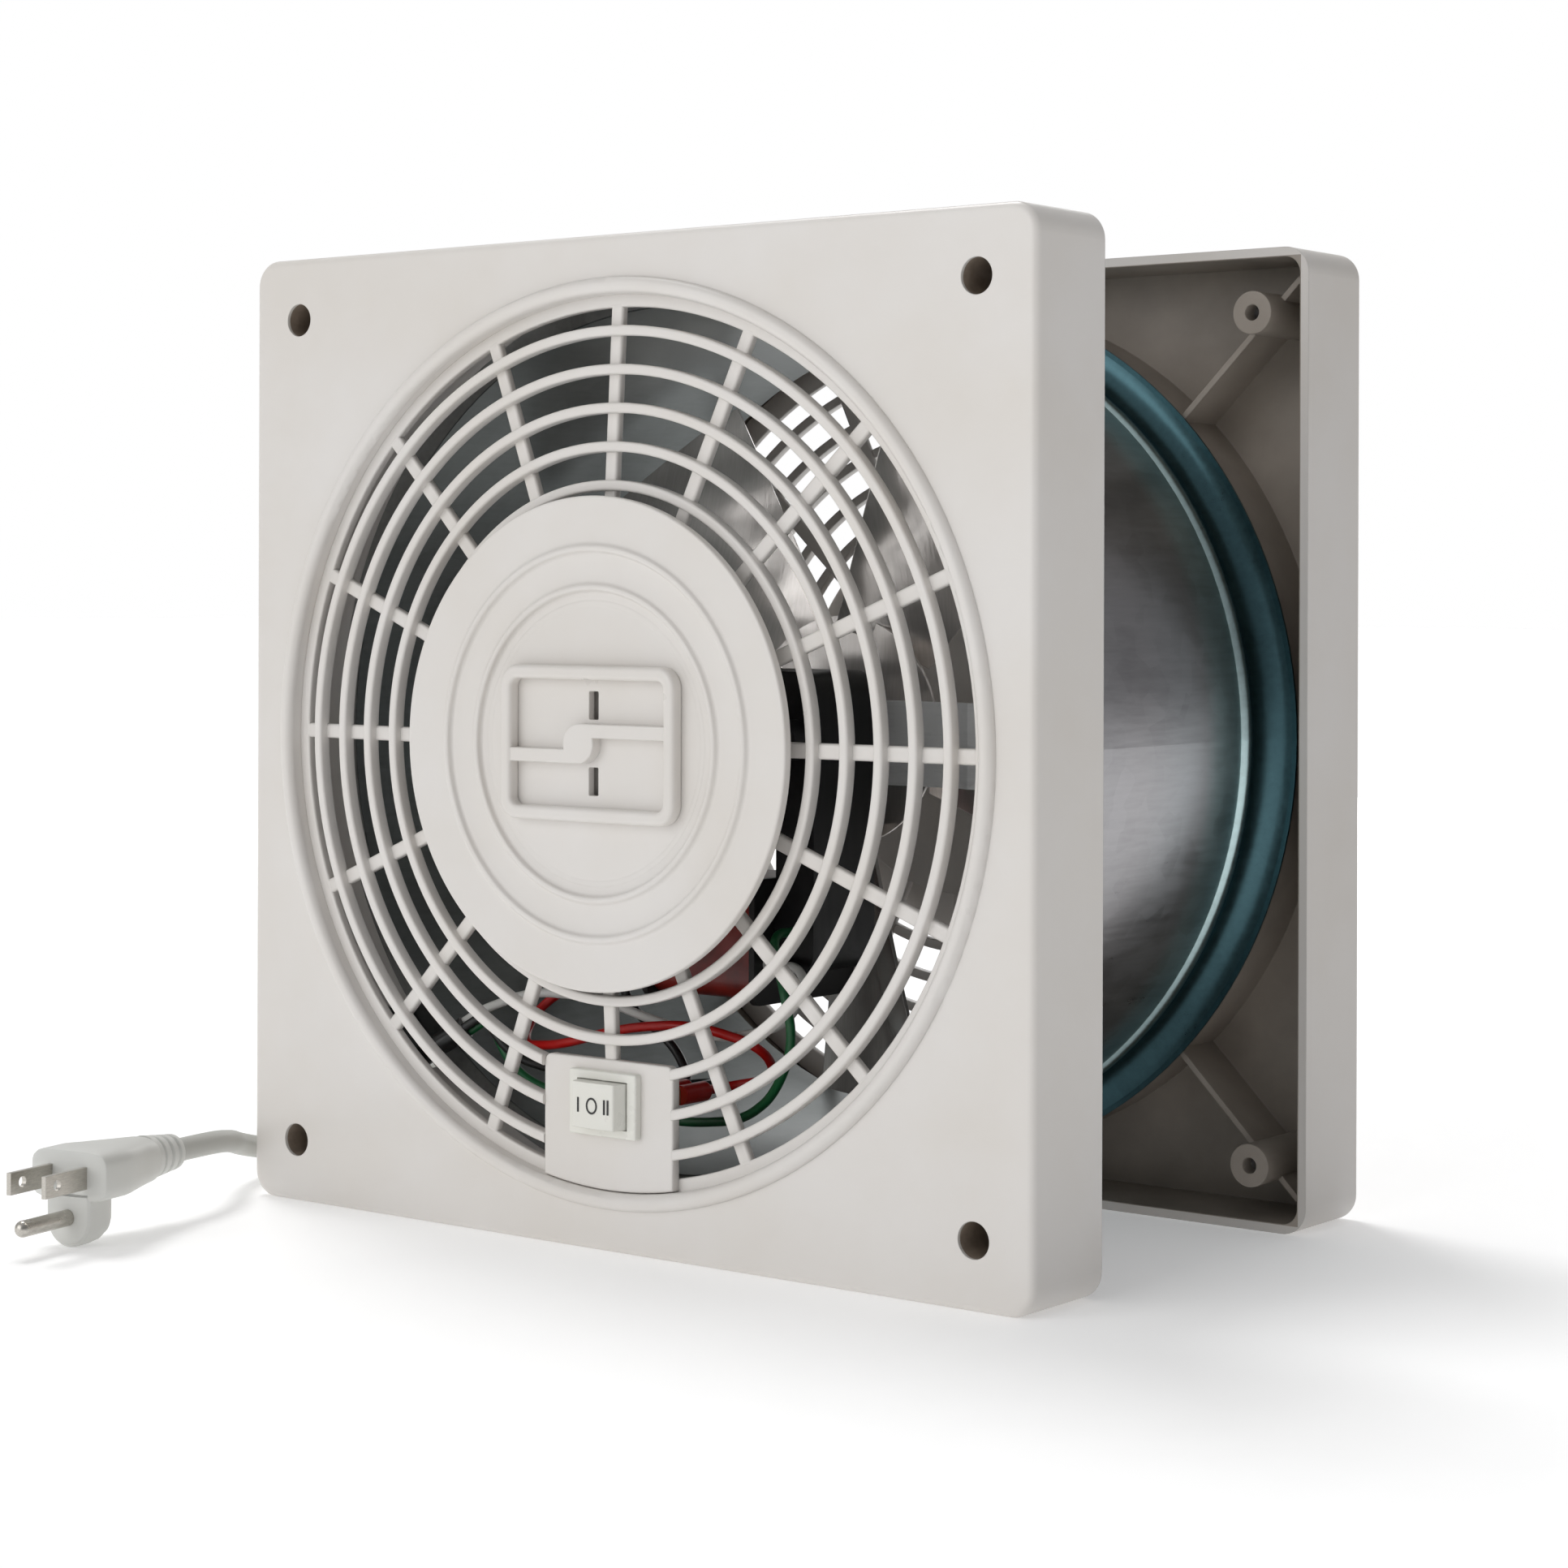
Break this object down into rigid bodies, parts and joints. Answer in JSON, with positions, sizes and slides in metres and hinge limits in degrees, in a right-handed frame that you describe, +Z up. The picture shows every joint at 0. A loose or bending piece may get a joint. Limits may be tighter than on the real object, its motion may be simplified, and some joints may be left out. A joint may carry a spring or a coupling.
{
  "type": "through-wall room-to-room fan",
  "caption": "Square panel fan with ring grilles, round telescoping wall sleeve, shaded-pole motor, metal impeller, rocker switch and supply cord with plug.",
  "frame": {"origin": "on the surface the fan stands on, under the middle of the fan between its two panels", "axes": "+X right, +Y from the room-side face to the far face, +Z up"},
  "size_m": [0.411, 0.3219, 0.292],
  "materials": {
    "abs_white": "fine matte moulded texture",
    "switch_white": "smooth satin moulded plastic",
    "galvanised": "galvanised sheet with soft sheen",
    "strap_steel": "galvanised strip",
    "blade_aluminium": "stamped aluminium sheet",
    "motor_black": "black painted laminations",
    "cast_black": "black die casting",
    "coil_tape": "orange-brown winding tape",
    "bobbin_black": "black nylon",
    "bronze": "sintered bronze",
    "shaft_steel": "ground steel",
    "screw_steel": "zinc plated",
    "wire_black": "pvc insulation",
    "wire_red": "pvc insulation",
    "wire_white": "pvc insulation",
    "wire_green": "pvc insulation",
    "crimp_red": "insulated crimp sleeves",
    "brass_tab": "brass switch tabs",
    "cord_white": "pvc cord jacket",
    "plug_white": "moulded pvc",
    "blade_nickel": "nickel plated brass",
    "tie_black": "woven strap"
  },
  "bodies": {
    "front_unit": {"front_panel": "abs_white", "front_grille": "abs_white", "front_disc": "abs_white", "inner_sleeve": "galvanised", "front_flange_screws": "screw_steel", "motor_strap": "strap_steel", "strap_screws": "screw_steel", "motor_core": "motor_black", "motor_coil": "coil_tape", "coil_end_plates": "bobbin_black", "front_bearing_bridge": "cast_black", "rear_bearing_bridge": "cast_black", "front_bush": "bronze", "rear_bush": "bronze", "motor_screws": "screw_steel", "switch_body": "switch_white", "switch_terminals": "brass_tab", "crimp_sleeves": "crimp_red", "line_wire": "wire_black", "red_wire": "wire_red", "black_wire": "wire_black", "white_wire": "wire_white", "green_wire": "wire_green", "inner_supply_lead": "wire_black", "cord_strain_relief": "cord_white", "supply_cord_near": "cord_white", "supply_cord_far": "cord_white", "cord_coil": "cord_white", "cord_tie": "tie_black", "plug_body": "plug_white", "plug_strain_relief": "plug_white", "plug_blades": "blade_nickel", "plug_ground_pin": "blade_nickel"},
    "impeller_unit": {"rotor": "shaft_steel", "motor_shaft": "shaft_steel", "impeller": "blade_aluminium", "impeller_hub": "strap_steel"},
    "rocker_unit": {"switch_rocker": "switch_white"},
    "rear_unit": {"rear_panel": "abs_white", "rear_grille": "abs_white", "rear_disc": "abs_white", "outer_sleeve": "galvanised"}
  },
  "joints": [
    {"name": "impeller_spin", "type": "hinge", "parent": "front_unit", "child": "impeller_unit", "pos_m": [0, 0, 0.146], "axis": [0, 1, 0], "continuous": true},
    {"name": "rocker_tilt", "type": "hinge", "parent": "front_unit", "child": "rocker_unit", "pos_m": [0, -0.09, 0.04275], "axis": [0, 0, 1], "range_deg": [-12, 12]},
    {"name": "sleeve_slide", "type": "slide", "parent": "front_unit", "child": "rear_unit", "axis": [0, 1, 0], "range_m": [-0.012, 0.026]}
  ]
}
